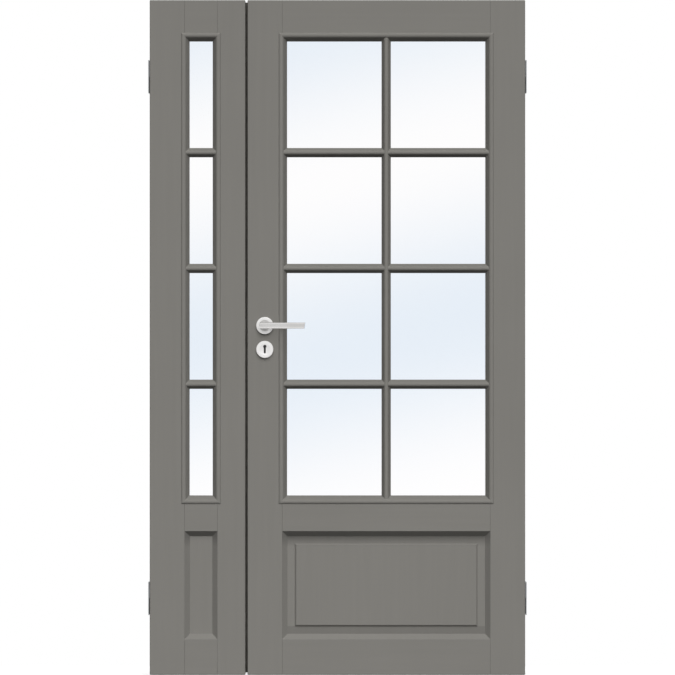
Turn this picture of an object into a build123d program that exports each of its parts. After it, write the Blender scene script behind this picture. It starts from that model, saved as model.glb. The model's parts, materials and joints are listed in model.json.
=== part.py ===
from build123d import *
from math import acos, degrees, sqrt
import os

os.makedirs("parts", exist_ok=True)

# Unequal double door: a wide glazed leaf and a narrow one beside it, on lift-off hinges.
# Millimetres. X runs across the opening, the front looks towards -Y, Z is up.
# The origin is the middle of the back of the lower hinge plate beside the narrow leaf.

# Leaves
leaf_height = 2040.0
leaf_thickness = 40.0
arris_radius = 3.0            # rounding of the outer edges of a leaf
joint_groove = 1.2            # chamfer that marks the joint of a rail with its stile
meeting_gap = 6.0             # between the two leaves, measured at the rear face
lock_edge_bevel = 0.7         # how much narrower the lock edge is at the front face
jamb_gap = 2.5                # between a leaf's edge and the hinge plate on the frame

# Stiles and rails
hinge_stile_width = 105.0
lock_stile_width = 105.0
meeting_stile_width = 84.0
passive_rail_length = 100.0
active_rail_length = 630.0
top_rail_height = 109.0
lock_rail_height = 92.0
bottom_rail_height = 107.5
panel_opening_height = 327.5

# Glazing
glass_thickness = 5.0
glass_cover = 7.5             # how far a pane runs in behind its sight line
glass_clearance = 0.3         # room on each side of a pane in the groove of a bar
bead_lap = 10.0               # bead on the face of the stiles and rails
bead_reach = 15.0             # bead standing in the opening
bead_proud = 4.0              # bead above the face
bead_outer_round = 7.0        # radius of the bead's outer side
bead_crown = 0.4              # flat top of the bead
bead_nose = 9.5               # radius of the bead above its slope
bead_land = 0.8               # straight part of the bead beside the glass
bar_width = 28.0
bar_crown = 0.6               # flat front of a bar
bar_nose = 7.0                # radius of a bar above its slopes
bar_groove = 9.0              # depth of the groove that takes a pane
active_columns = 2
pane_rows = 4

# Lower panels
panel_depth = 17.0            # panel margin below the face of the leaf
panel_clearance = 1.0         # between a panel's edge and the opening
moulding_width = 16.0
moulding_land = 0.5           # low edge of the moulding on the panel
field_margin = 38.0           # from the opening to the raised field
field_rise = 6.0
field_bevel = 40.0            # slope of the field's edge, degrees from upright

# Hinges
hinge_inset = 230.0           # hinge middle from the top and the bottom of the leaf
hinge_height = 100.0
hinge_plate_width = 28.0
hinge_plate_thickness = 2.5
hinge_corner = 6.0
knuckle_radius = 6.5
knuckle_standoff = 0.5        # between the knuckle and the rear face of the leaf
knuckle_gap = 0.3             # between the two knuckles of a hinge
knuckle_chamfer = 1.5
pin_radius = 4.0
pin_length = 40.0
pin_clearance = 0.05
pin_end_room = 1.0            # empty bore above the pin
hinge_screw_radius = 2.2
hinge_screw_head = 4.0
hinge_screw_across = 12.0     # screw spacing across the plate
hinge_screw_along = 64.0      # screw spacing along the plate
hinge_screw_shift = -2.0      # middle of the screws from the middle of the plate

# Lock, strike and bolts
lever_height = 1056.0         # lever axis above the bottom of the leaf
key_drop = 72.0               # keyhole below the lever axis
backset = 53.0                # lever axis from the lock edge
edge_plate_width = 20.0
lock_plate_thickness = 3.0
lock_plate_above = 70.0       # lock plate above the lever axis
lock_plate_below = 155.0
lock_case_depth = 78.0
lock_case_thickness = 15.0
lock_case_above = 42.0
lock_case_below = 125.0
lock_case_room = 0.5          # play of the case in its mortise
bolt_width = 12.0
latch_length = 20.0
dead_bolt_length = 30.0
bolt_depth = 24.0
bolt_clearance = 0.3
strike_thickness = 2.5
strike_pocket = 16.0          # hollow in the stile behind the strike
flush_bolt_length = 160.0
flush_bolt_width = 18.0
flush_bolt_thickness = 2.5
flush_bolt_inset = 30.0       # plate from the end of the leaf
slide_slot_length = 56.0
slide_slot_width = 8.0
slide_length = 22.0
slide_depth = 6.0
slide_clearance = 0.3

# Lever and roses
rose_radius = 26.0
rose_thickness = 9.0
rose_round = 2.5
rose_rim = 9.0                # flat rim of a rose
rose_dish = 2.5               # depth of the hollow dish inside the rim, in its middle
neck_radius = 9.0
neck_clearance = 0.3
lever_standoff = 38.0         # back of the lever above the face of the leaf
lever_bar_height = 18.5
lever_bar_thickness = 9.0     # at the top and bottom edges
lever_crown = 2.5             # how far the rounded front stands out along its middle
lever_tail = 17.0             # lever behind its axis
lever_length = 122.0          # lever ahead of its axis
lever_front_round = 3.0
lever_back_round = 2.5
lever_tail_round = 7.0        # corners of the tail, seen from the front
lever_tip_round = 2.0         # corners of the tip, seen from the front
lever_tip_slant = 3.0         # foot of the tip behind its top
spindle_width = 8.0
spindle_clearance = 0.1
spindle_grip = 30.0           # spindle inside each lever's neck
spindle_bore_radius = 8.0     # through the stile and the lock
keyhole_radius = 5.0
keyhole_rise = 8.8            # round of the keyhole above the middle of its rose
keyhole_slot_width = 6.0
keyhole_slot_drop = 11.8      # foot of the slot below the middle of its rose
keyway_room = 1.5             # wider way through the stile
lock_web = 3.0                # lever pack that closes the keyhole in the middle of the lock

# Seal between the leaves
seal_width = 5.0
seal_tip_width = 2.0
seal_from_rear = 4.0          # seal from the rear face
seal_root = 4.0               # part let into the stile
seal_clearance = 0.8          # between the seal and the other leaf
seal_end_gap = 5.0            # seal short of the top and the bottom

# Places that follow from the sizes
leaf_rear = hinge_plate_width / 2
leaf_front = leaf_rear - leaf_thickness
leaf_mid = (leaf_front + leaf_rear) / 2
leaf_bottom = -hinge_inset
leaf_top = leaf_bottom + leaf_height
hinge_levels = {"lower": 0.0, "upper": leaf_top - hinge_inset}
passive_left = hinge_plate_thickness + jamb_gap
passive_open_left = passive_left + hinge_stile_width
passive_open_right = passive_open_left + passive_rail_length
passive_right = passive_open_right + meeting_stile_width
active_left = passive_right + meeting_gap
active_open_left = active_left + lock_stile_width
active_open_right = active_open_left + active_rail_length
active_right = active_open_right + hinge_stile_width
frame_right = active_right + jamb_gap + hinge_plate_thickness
panel_low = leaf_bottom + bottom_rail_height
panel_high = panel_low + panel_opening_height
glass_low = panel_high + lock_rail_height
glass_high = leaf_top - top_rail_height
glass_depth = (leaf_thickness - glass_thickness) / 2
bead_crown_outer = sqrt(bead_proud * (2 * bead_outer_round - bead_proud)) - bead_lap
bead_crown_inner = bead_crown_outer + bead_crown
hinge_axis_x = knuckle_radius
hinge_axis_y = leaf_rear + knuckle_radius + knuckle_standoff
dish_radius = rose_radius - rose_rim
bowl_radius = (dish_radius**2 + rose_dish**2) / (2 * rose_dish)
lever_axis_x = active_left + backset
lever_axis_z = leaf_bottom + lever_height
key_axis_z = lever_axis_z - key_drop
lock_edge_x = active_left + lock_edge_bevel / 2
pane_height = (glass_high - glass_low - 2 * bead_reach - (pane_rows - 1) * bar_width) / pane_rows
row_pitch = pane_height + bar_width
bar_levels = [glass_low + bead_reach + row * row_pitch - bar_width / 2 for row in range(1, pane_rows)]
mid_plane = Plane.XZ.offset(-leaf_mid)
opening_middle = Plane.YZ.offset(frame_right / 2)


def save(piece, name):
    """Label a finished piece and write it."""
    piece.part.label = name
    export_step(piece.part, f"parts/{name}.step")


def mirrored(shape, plane):
    """The same piece on the other side of a plane."""
    with BuildPart() as twin:
        mirror(shape, about=plane)
    return twin


# Stiles and rails
def stile_blank(left, right, outer_is_left, bevel=0.0):
    """A full-height stile with rounded outer edges; the bevel narrows its left edge at the front."""
    with BuildPart() as blank:
        with BuildSketch(Plane.XY.offset(leaf_bottom)):
            with BuildLine():
                Polyline(
                    (left + bevel, leaf_front),
                    (right, leaf_front),
                    (right, leaf_rear),
                    (left, leaf_rear),
                    close=True,
                )
            make_face()
        extrude(amount=leaf_height)
        upright_edges = blank.edges().filter_by(Axis.Z).sort_by(Axis.X)
        fillet(upright_edges[:2] if outer_is_left else upright_edges[-2:], arris_radius)
        fillet(blank.edges().filter_by(Axis.X), arris_radius)
    return blank.part


def rail(left, right, low, high):
    """A rail between two stiles, with chamfered ends and rounded edges where it ends the leaf."""
    with BuildPart() as piece:
        with BuildSketch(Plane.XY.offset(low)) as plan:
            with Locations(((left + right) / 2, leaf_mid)):
                Rectangle(right - left, leaf_thickness)
            chamfer(plan.vertices(), joint_groove)
        extrude(amount=high - low)
        long_edges = piece.edges().filter_by(Axis.X)
        if high == leaf_top:
            fillet(long_edges.group_by(Axis.Z)[-1], arris_radius)
        if low == leaf_bottom:
            fillet(long_edges.group_by(Axis.Z)[0], arris_radius)
    return piece


# Mitred frames of moulding, drawn across the bottom of an opening:
# the first direction runs into the opening, the second stands out of the front face.
def section_plane(left, right, low):
    """Plane across the moulding in the middle of an opening's lower side."""
    return Plane(origin=((left + right) / 2, leaf_front, low), x_dir=(0, 0, 1), z_dir=(1, 0, 0))


def opening_path(left, right, low, high):
    """Line round an opening, starting in the middle of its lower side."""
    middle = (left + right) / 2
    with BuildLine() as path:
        Polyline(
            (middle, leaf_front, low),
            (right, leaf_front, low),
            (right, leaf_front, high),
            (left, leaf_front, high),
            (left, leaf_front, low),
            close=True,
        )
    return path.wires()[0]


def slope_start(crown_end, radius, foot):
    """Point where the round nose below the end of a crown runs into a straight slope down to a foot."""
    middle = Vector(crown_end) - Vector(0, radius)
    to_foot = Vector(foot) - middle
    turn = degrees(acos(radius / to_foot.length))
    return middle + to_foot.normalized().rotate(Axis.Z, turn) * radius


def glazing_bead(left, right, low, high):
    """Bead round the glass: laps the face, stands proud and slopes down to the glass."""
    crown_end = (bead_crown_inner, bead_proud)
    foot = (bead_reach, -glass_depth + bead_land)
    nose_end = slope_start(crown_end, bead_nose, foot)
    with BuildPart() as frame:
        with BuildSketch(section_plane(left, right, low)):
            with BuildLine():
                Polyline(
                    nose_end,
                    foot,
                    (bead_reach, -glass_depth),
                    (0, -glass_depth),
                    (0, 0),
                    (-bead_lap, 0),
                )
                RadiusArc((-bead_lap, 0), (bead_crown_outer, bead_proud), bead_outer_round)
                Line((bead_crown_outer, bead_proud), crown_end)
                RadiusArc(crown_end, nose_end, bead_nose)
            make_face()
        sweep(path=opening_path(left, right, low, high), transition=Transition.RIGHT)
    return frame


def panel_moulding(left, right, low, high):
    """Moulding round a lower panel: flush with the face and sloping down to the panel."""
    with BuildPart() as frame:
        with BuildSketch(section_plane(left, right, low)):
            with BuildLine():
                Polyline(
                    (0, 0),
                    (moulding_width, -panel_depth + moulding_land),
                    (moulding_width, -panel_depth),
                    (0, -panel_depth),
                    close=True,
                )
            make_face()
        sweep(path=opening_path(left, right, low, high), transition=Transition.RIGHT)
    return frame


# Glazing bars
def bar_section(plane):
    """Section of a glazing bar: rounded front and rear, grooved on both sides for the panes."""
    crown_end = (bar_crown / 2, leaf_thickness / 2)
    foot = (bar_width / 2, glass_thickness / 2 + bead_land)
    nose_end = slope_start(crown_end, bar_nose, foot)
    groove_width = glass_thickness + 2 * glass_clearance
    with BuildSketch(plane) as section:
        with BuildLine():
            Polyline(crown_end, (0, leaf_thickness / 2), (0, 0), (bar_width / 2, 0), foot, nose_end)
            RadiusArc(crown_end, nose_end, bar_nose)
        make_face()
        mirror(about=Plane.YZ)
        mirror(about=Plane.XZ)
        for side in (-1, 1):
            with Locations((side * (bar_width - bar_groove) / 2, 0)):
                Rectangle(bar_groove, groove_width, mode=Mode.SUBTRACT)
    return section.sketch


def cross_bar(level, spans, neighbours):
    """Level bars over the given spans, their ends cut to the shape of the pieces they meet."""
    with BuildPart() as piece:
        for left, right in spans:
            section = bar_section(Plane(origin=(left, leaf_mid, level), x_dir=(0, 0, 1), z_dir=(1, 0, 0)))
            extrude(section, amount=right - left)
        for neighbour in neighbours:
            add(neighbour, mode=Mode.SUBTRACT)
    return piece


def panes(column_middles, width):
    """Panes of all rows at the given column middles."""
    with BuildPart() as piece:
        for row in range(pane_rows):
            level = glass_low + bead_reach + pane_height / 2 + row * row_pitch
            for middle in column_middles:
                with Locations((middle, leaf_mid, level)):
                    Box(width + 2 * glass_cover, glass_thickness, pane_height + 2 * glass_cover)
    return piece


def lower_panel(left, right, fielded):
    """A panel between its mouldings; a fielded one has a raised middle on both faces."""
    board_left = left + panel_clearance
    board_right = right - panel_clearance
    board_low = panel_low + panel_clearance
    board_high = panel_high - panel_clearance
    middle = ((board_left + board_right) / 2, leaf_mid, (board_low + board_high) / 2)
    thickness = leaf_thickness - 2 * panel_depth
    with BuildPart() as piece:
        with Locations(middle):
            Box(board_right - board_left, thickness, board_high - board_low)
        if fielded:
            for side in (-1, 1):
                face = Plane(
                    origin=(middle[0], leaf_mid + side * thickness / 2, middle[2]),
                    x_dir=(1, 0, 0),
                    z_dir=(0, side, 0),
                )
                with BuildSketch(face):
                    Rectangle(
                        right - left - 2 * field_margin,
                        panel_opening_height - 2 * field_margin,
                    )
                extrude(amount=field_rise, taper=field_bevel)
    return piece


# Hinges, drawn beside the narrow leaf and mirrored to the wide one
def hinge_plate_outline(plane):
    """Outline of a hinge plate, rounded on its front side."""
    with BuildSketch(plane) as outline:
        Rectangle(hinge_plate_width, hinge_height)
        fillet(outline.vertices().group_by(Axis.X)[0], hinge_corner)
    return outline.sketch


def knuckle(low, height, chamfer_foot):
    """The barrel of one hinge half, chamfered at its free end."""
    with BuildPart() as barrel:
        with Locations((hinge_axis_x, hinge_axis_y, low)):
            Cylinder(knuckle_radius, height, align=(Align.CENTER, Align.CENTER, Align.MIN))
        rims = barrel.edges().filter_by(GeomType.CIRCLE).sort_by(Axis.Z)
        chamfer(rims[0] if chamfer_foot else rims[-1], knuckle_chamfer)
    return barrel.part


def hinge_half(level, on_frame):
    """One half of a lift-off hinge: plate, arm and knuckle, with the pin on the frame's half."""
    plate_x = 0 if on_frame else passive_left
    screw_x = hinge_plate_thickness if on_frame else passive_left
    screw_normal = 1 if on_frame else -1
    knuckle_height = (hinge_height - knuckle_gap) / 2
    knuckle_low = level - hinge_height / 2 if on_frame else level + knuckle_gap / 2
    with BuildPart() as half:
        plate = hinge_plate_outline(Plane(origin=(plate_x, 0, level), x_dir=(0, 1, 0), z_dir=(1, 0, 0)))
        extrude(plate, amount=hinge_plate_thickness)
        with Locations((plate_x, leaf_rear, knuckle_low)):
            Box(
                hinge_plate_thickness,
                hinge_axis_y - leaf_rear,
                knuckle_height,
                align=(Align.MIN, Align.MIN, Align.MIN),
            )
        add(knuckle(knuckle_low, knuckle_height, chamfer_foot=on_frame))
        if on_frame:
            with Locations((hinge_axis_x, hinge_axis_y, knuckle_low + knuckle_height)):
                Cylinder(pin_radius, pin_length, align=(Align.CENTER, Align.CENTER, Align.MIN))
        else:
            with Locations((hinge_axis_x, hinge_axis_y, knuckle_low)):
                Cylinder(
                    pin_radius + pin_clearance,
                    pin_length + pin_end_room,
                    align=(Align.CENTER, Align.CENTER, Align.MIN),
                    mode=Mode.SUBTRACT,
                )
        screw_face = Plane(
            origin=(screw_x, hinge_screw_shift, level), x_dir=(0, 1, 0), z_dir=(screw_normal, 0, 0)
        )
        with Locations(screw_face):
            with GridLocations(hinge_screw_across, hinge_screw_along, 2, 2):
                CounterSinkHole(hinge_screw_radius, hinge_screw_head, depth=hinge_plate_thickness)
    return half


def hinge_seat(level):
    """The shallow pocket in a stile's edge that takes a leaf hinge plate."""
    with BuildPart() as seat:
        outline = hinge_plate_outline(
            Plane(origin=(passive_left, 0, level), x_dir=(0, 1, 0), z_dir=(1, 0, 0))
        )
        extrude(outline, amount=hinge_plate_thickness)
    return seat.part


# Lock, strike and bolts
def edge_plate(edge_x, inward, low, high, width, thickness):
    """A flat plate with round ends, let flush into the edge of a stile."""
    with BuildPart() as plate:
        with BuildSketch(
            Plane(origin=(edge_x, leaf_mid, (low + high) / 2), x_dir=(0, 0, 1), z_dir=(inward, 0, 0))
        ):
            SlotOverall(high - low, width)
        extrude(amount=thickness)
    return plate.part


def bolt_blocks(edge_x, inward, depth, room=0.0):
    """Blocks of the latch and the dead bolt below it, or of the holes that take them."""
    with BuildPart() as blocks:
        for level, length in ((lever_axis_z, latch_length), (key_axis_z, dead_bolt_length)):
            with Locations((edge_x + inward * depth / 2, leaf_mid, level)):
                Box(depth, bolt_width + 2 * room, length + 2 * room)
    return blocks.part


def slide_block(middle, length, width, depth):
    """Block of a flush bolt's slide, or of the slot that it runs in."""
    return edge_plate(passive_right, -1, middle - length / 2, middle + length / 2, width, depth)


def keyhole(level, room, start, end):
    """A keyhole cut along Y: a round with a slot below it."""
    start_plane = Plane(origin=(lever_axis_x, start, level), x_dir=(1, 0, 0), z_dir=(0, 1, 0))
    with BuildPart() as cut:
        with BuildSketch(start_plane):
            with Locations((0, -keyhole_rise)):
                Circle(keyhole_radius + room)
            with Locations((0, (keyhole_slot_drop - keyhole_rise) / 2)):
                SlotOverall(
                    keyhole_rise + keyhole_slot_drop + 2 * room,
                    keyhole_slot_width + 2 * room,
                    rotation=90,
                )
        extrude(amount=end - start)
    return cut.part


def spindle_bore(radius, start, end):
    """A round bore along the lever axis."""
    with BuildPart() as bore:
        with BuildSketch(Plane(origin=(lever_axis_x, start, lever_axis_z), z_dir=(0, 1, 0))):
            Circle(radius)
        extrude(amount=end - start)
    return bore.part


def rose(level):
    """A round rose on the front face, with a flat rim round a shallow hollow dish."""
    seat = Plane(origin=(lever_axis_x, leaf_front, level), z_dir=(0, -1, 0))
    with BuildPart() as disc:
        with BuildSketch(seat):
            Circle(rose_radius)
        extrude(amount=rose_thickness)
        fillet(disc.faces().sort_by(Axis.Y)[0].edges(), rose_round)
        with Locations((lever_axis_x, leaf_front - rose_thickness + rose_dish - bowl_radius, level)):
            Sphere(bowl_radius, mode=Mode.SUBTRACT)
    return disc.part


# Leaf hinge halves and frame hinge halves
for hinge_name, hinge_level in hinge_levels.items():
    passive_frame_half = hinge_half(hinge_level, on_frame=True)
    passive_leaf_half = hinge_half(hinge_level, on_frame=False)
    active_frame_half = mirrored(passive_frame_half.part, opening_middle)
    active_leaf_half = mirrored(passive_leaf_half.part, opening_middle)
    save(passive_frame_half, f"passive_{hinge_name}_frame_hinge")
    save(passive_leaf_half, f"passive_{hinge_name}_leaf_hinge")
    save(active_frame_half, f"active_{hinge_name}_frame_hinge")
    save(active_leaf_half, f"active_{hinge_name}_leaf_hinge")

# Hinge stiles
with BuildPart() as passive_hinge_stile:
    add(stile_blank(passive_left, passive_open_left, outer_is_left=True))
    for hinge_level in hinge_levels.values():
        add(hinge_seat(hinge_level), mode=Mode.SUBTRACT)
save(passive_hinge_stile, "passive_hinge_stile")

active_hinge_stile = mirrored(passive_hinge_stile.part, opening_middle)
save(active_hinge_stile, "active_hinge_stile")

# Lock stile, lock and bolts
lock_low = lever_axis_z - lock_plate_below
lock_high = lever_axis_z + lock_plate_above
case_low = lever_axis_z - lock_case_below
case_height = lock_case_below + lock_case_above
case_left = lock_edge_x + lock_plate_thickness

with BuildPart() as active_lock_stile:
    add(stile_blank(active_left, active_open_left, outer_is_left=True, bevel=lock_edge_bevel))
    add(
        edge_plate(active_left, 1, lock_low, lock_high, edge_plate_width, case_left - active_left),
        mode=Mode.SUBTRACT,
    )
    with Locations((active_left, leaf_mid, case_low - lock_case_room)):
        Box(
            case_left - active_left + lock_case_depth + lock_case_room,
            lock_case_thickness + 2 * lock_case_room,
            case_height + 2 * lock_case_room,
            align=(Align.MIN, Align.CENTER, Align.MIN),
            mode=Mode.SUBTRACT,
        )
    add(spindle_bore(spindle_bore_radius, leaf_front, leaf_rear), mode=Mode.SUBTRACT)
    add(keyhole(key_axis_z, keyway_room, leaf_front, leaf_rear), mode=Mode.SUBTRACT)
save(active_lock_stile, "active_lock_stile")

with BuildPart() as mortise_lock:
    add(edge_plate(lock_edge_x, 1, lock_low, lock_high, edge_plate_width, lock_plate_thickness))
    with Locations((case_left, leaf_mid, case_low)):
        Box(
            lock_case_depth,
            lock_case_thickness,
            case_height,
            align=(Align.MIN, Align.CENTER, Align.MIN),
        )
    add(bolt_blocks(lock_edge_x, 1, bolt_depth, bolt_clearance), mode=Mode.SUBTRACT)
    add(spindle_bore(spindle_bore_radius, leaf_front, leaf_rear), mode=Mode.SUBTRACT)
    add(keyhole(key_axis_z, 0.0, leaf_front, leaf_mid - lock_web / 2), mode=Mode.SUBTRACT)
    add(keyhole(key_axis_z, 0.0, leaf_mid + lock_web / 2, leaf_rear), mode=Mode.SUBTRACT)
save(mortise_lock, "mortise_lock")

with BuildPart() as lock_bolts:
    add(bolt_blocks(lock_edge_x, 1, bolt_depth - bolt_clearance))
save(lock_bolts, "lock_bolts")

# Meeting stile, strike, flush bolts and seal
flush_bolt_spans = {
    "top": (leaf_top - flush_bolt_inset - flush_bolt_length, leaf_top - flush_bolt_inset),
    "bottom": (leaf_bottom + flush_bolt_inset, leaf_bottom + flush_bolt_inset + flush_bolt_length),
}
seal_rear = leaf_rear - seal_from_rear
seal_middle = seal_rear - seal_width / 2
seal_tip_x = active_left - seal_clearance

with BuildPart() as strike_plate:
    add(edge_plate(passive_right, -1, lock_low, lock_high, edge_plate_width, strike_thickness))
    add(bolt_blocks(passive_right, -1, strike_thickness, bolt_clearance), mode=Mode.SUBTRACT)
save(strike_plate, "strike_plate")

with BuildPart() as meeting_seal:
    with BuildSketch(Plane.XY.offset(leaf_bottom + seal_end_gap)):
        with BuildLine():
            Polyline(
                (passive_right - seal_root, seal_middle - seal_width / 2),
                (passive_right, seal_middle - seal_width / 2),
                (seal_tip_x, seal_middle - seal_tip_width / 2),
                (seal_tip_x, seal_middle + seal_tip_width / 2),
                (passive_right, seal_middle + seal_width / 2),
                (passive_right - seal_root, seal_middle + seal_width / 2),
                close=True,
            )
        make_face()
    extrude(amount=leaf_height - 2 * seal_end_gap)
save(meeting_seal, "meeting_seal")

with BuildPart() as passive_meeting_stile:
    add(stile_blank(passive_open_right, passive_right, outer_is_left=False))
    add(
        edge_plate(passive_right, -1, lock_low, lock_high, edge_plate_width, strike_thickness),
        mode=Mode.SUBTRACT,
    )
    add(bolt_blocks(passive_right, -1, strike_pocket, bolt_clearance), mode=Mode.SUBTRACT)
    for low, high in flush_bolt_spans.values():
        add(
            edge_plate(passive_right, -1, low, high, flush_bolt_width, flush_bolt_thickness),
            mode=Mode.SUBTRACT,
        )
        slot_depth = slide_depth + slide_clearance
        add(
            slide_block((low + high) / 2, slide_slot_length, slide_slot_width, slot_depth),
            mode=Mode.SUBTRACT,
        )
    with Locations((passive_right, seal_middle, leaf_bottom + seal_end_gap)):
        Box(
            2 * seal_root,
            seal_width,
            leaf_height - 2 * seal_end_gap,
            align=(Align.CENTER, Align.CENTER, Align.MIN),
            mode=Mode.SUBTRACT,
        )
save(passive_meeting_stile, "passive_meeting_stile")

for bolt_name, (low, high) in flush_bolt_spans.items():
    middle = (low + high) / 2
    with BuildPart() as flush_bolt:
        add(edge_plate(passive_right, -1, low, high, flush_bolt_width, flush_bolt_thickness))
        add(
            slide_block(middle, slide_slot_length, slide_slot_width, flush_bolt_thickness),
            mode=Mode.SUBTRACT,
        )
        add(slide_block(middle, slide_length, slide_slot_width - 2 * slide_clearance, slide_depth))
    save(flush_bolt, f"{bolt_name}_flush_bolt")

# Rails, panels, mouldings, beads, bars and panes of each leaf
rail_spans = {
    "top_rail": (glass_high, leaf_top),
    "lock_rail": (panel_high, glass_low),
    "bottom_rail": (leaf_bottom, panel_low),
}
leaf_openings = {
    "passive": (passive_open_left, passive_open_right, 1),
    "active": (active_open_left, active_open_right, active_columns),
}
for leaf_name, (left, right, columns) in leaf_openings.items():
    for rail_name, (low, high) in rail_spans.items():
        save(rail(left, right, low, high), f"{leaf_name}_{rail_name}")

    save(lower_panel(left, right, fielded=columns > 1), f"{leaf_name}_panel")
    front_moulding = panel_moulding(left, right, panel_low, panel_high)
    rear_moulding = mirrored(front_moulding.part, mid_plane)
    save(front_moulding, f"{leaf_name}_panel_moulding_front")
    save(rear_moulding, f"{leaf_name}_panel_moulding_rear")

    front_bead = glazing_bead(left, right, glass_low, glass_high)
    rear_bead = mirrored(front_bead.part, mid_plane)
    save(front_bead, f"{leaf_name}_glazing_bead_front")
    save(rear_bead, f"{leaf_name}_glazing_bead_rear")

    pane_width = (right - left - 2 * bead_reach - (columns - 1) * bar_width) / columns
    column_pitch = pane_width + bar_width
    first_middle = left + bead_reach + pane_width / 2
    column_middles = [first_middle + column * column_pitch for column in range(columns)]
    save(panes(column_middles, pane_width), f"{leaf_name}_panes")

    bar_neighbours = [front_bead.part, rear_bead.part]
    upright_middles = [middle + column_pitch / 2 for middle in column_middles[:-1]]
    for upright_middle in upright_middles:
        with BuildPart() as upright_bar:
            section = bar_section(Plane(origin=(upright_middle, leaf_mid, glass_low), z_dir=(0, 0, 1)))
            extrude(section, amount=glass_high - glass_low)
            for neighbour in bar_neighbours[:2]:
                add(neighbour, mode=Mode.SUBTRACT)
        save(upright_bar, f"{leaf_name}_upright_bar")
        bar_neighbours.append(upright_bar.part)

    web = bar_width / 2 - bar_groove
    span_starts = [left] + [middle + web for middle in upright_middles]
    span_ends = [middle - web for middle in upright_middles] + [right]
    bar_spans = list(zip(span_starts, span_ends))
    for number, level in enumerate(reversed(bar_levels), start=1):
        save(cross_bar(level, bar_spans, bar_neighbours), f"{leaf_name}_cross_bar_{number}")

# Roses, levers and spindle
with BuildPart() as front_lever_rose:
    add(rose(lever_axis_z))
    add(
        spindle_bore(neck_radius + neck_clearance, leaf_front - rose_thickness, leaf_front),
        mode=Mode.SUBTRACT,
    )
save(front_lever_rose, "front_lever_rose")
save(mirrored(front_lever_rose.part, mid_plane), "rear_lever_rose")

with BuildPart() as front_key_rose:
    add(rose(key_axis_z))
    add(keyhole(key_axis_z, 0.0, leaf_front - rose_thickness, leaf_front), mode=Mode.SUBTRACT)
save(front_key_rose, "front_key_rose")
save(mirrored(front_key_rose.part, mid_plane), "rear_key_rose")

lever_back = leaf_front - lever_standoff
tail_plane = Plane(
    origin=(lever_axis_x - lever_tail, lever_back, lever_axis_z), x_dir=(0, 0, 1), z_dir=(1, 0, 0)
)
rose_seat = Plane(origin=(lever_axis_x, leaf_front, lever_axis_z), x_dir=(1, 0, 0), z_dir=(0, -1, 0))
half_height = lever_bar_height / 2
with BuildPart() as front_lever:
    with BuildSketch(tail_plane) as bar_profile:
        with BuildLine():
            Polyline(
                (half_height, lever_bar_thickness),
                (half_height, 0),
                (-half_height, 0),
                (-half_height, lever_bar_thickness),
            )
            ThreePointArc(
                (-half_height, lever_bar_thickness),
                (0, lever_bar_thickness + lever_crown),
                (half_height, lever_bar_thickness),
            )
        make_face()
        fillet(bar_profile.vertices().group_by(Axis.Y)[0], lever_back_round)
        fillet(bar_profile.vertices().group_by(Axis.Y)[-1], lever_front_round)
    extrude(amount=lever_tail + lever_length)
    with BuildSketch(rose_seat) as front_outline:
        with BuildLine():
            Polyline(
                (-lever_tail, -half_height),
                (lever_length - lever_tip_slant, -half_height),
                (lever_length, half_height),
                (-lever_tail, half_height),
                close=True,
            )
        make_face()
        outline_corners = front_outline.vertices().sort_by(Axis.X)
        fillet(outline_corners[:2], lever_tail_round)
        fillet(outline_corners[2:], lever_tip_round)
    extrude(amount=lever_standoff + lever_bar_thickness + lever_crown, mode=Mode.INTERSECT)
    with BuildSketch(rose_seat):
        Circle(neck_radius)
    extrude(amount=lever_standoff + lever_back_round)
    with BuildSketch(rose_seat):
        Rectangle(spindle_width + 2 * spindle_clearance, spindle_width + 2 * spindle_clearance)
    extrude(amount=spindle_grip + spindle_clearance, mode=Mode.SUBTRACT)
save(front_lever, "front_lever")
save(mirrored(front_lever.part, mid_plane), "rear_lever")

with BuildPart() as spindle:
    with Locations((lever_axis_x, leaf_mid, lever_axis_z)):
        Box(spindle_width, leaf_thickness + 2 * spindle_grip, spindle_width)
save(spindle, "spindle")
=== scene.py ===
# %% [markdown]
# # Unequal double door
# A wide glazed leaf and a narrow one beside it, painted warm grey, on lift-off hinges.
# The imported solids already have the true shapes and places, so this lesson gives them their looks:
# paint, glass and metal as node materials, screws and the brush seal as Geometry Nodes,
# then light, a floor and the camera. Everything is in metres, in the frame of the solids.

# %% Load the solids
import json
import math

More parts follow.
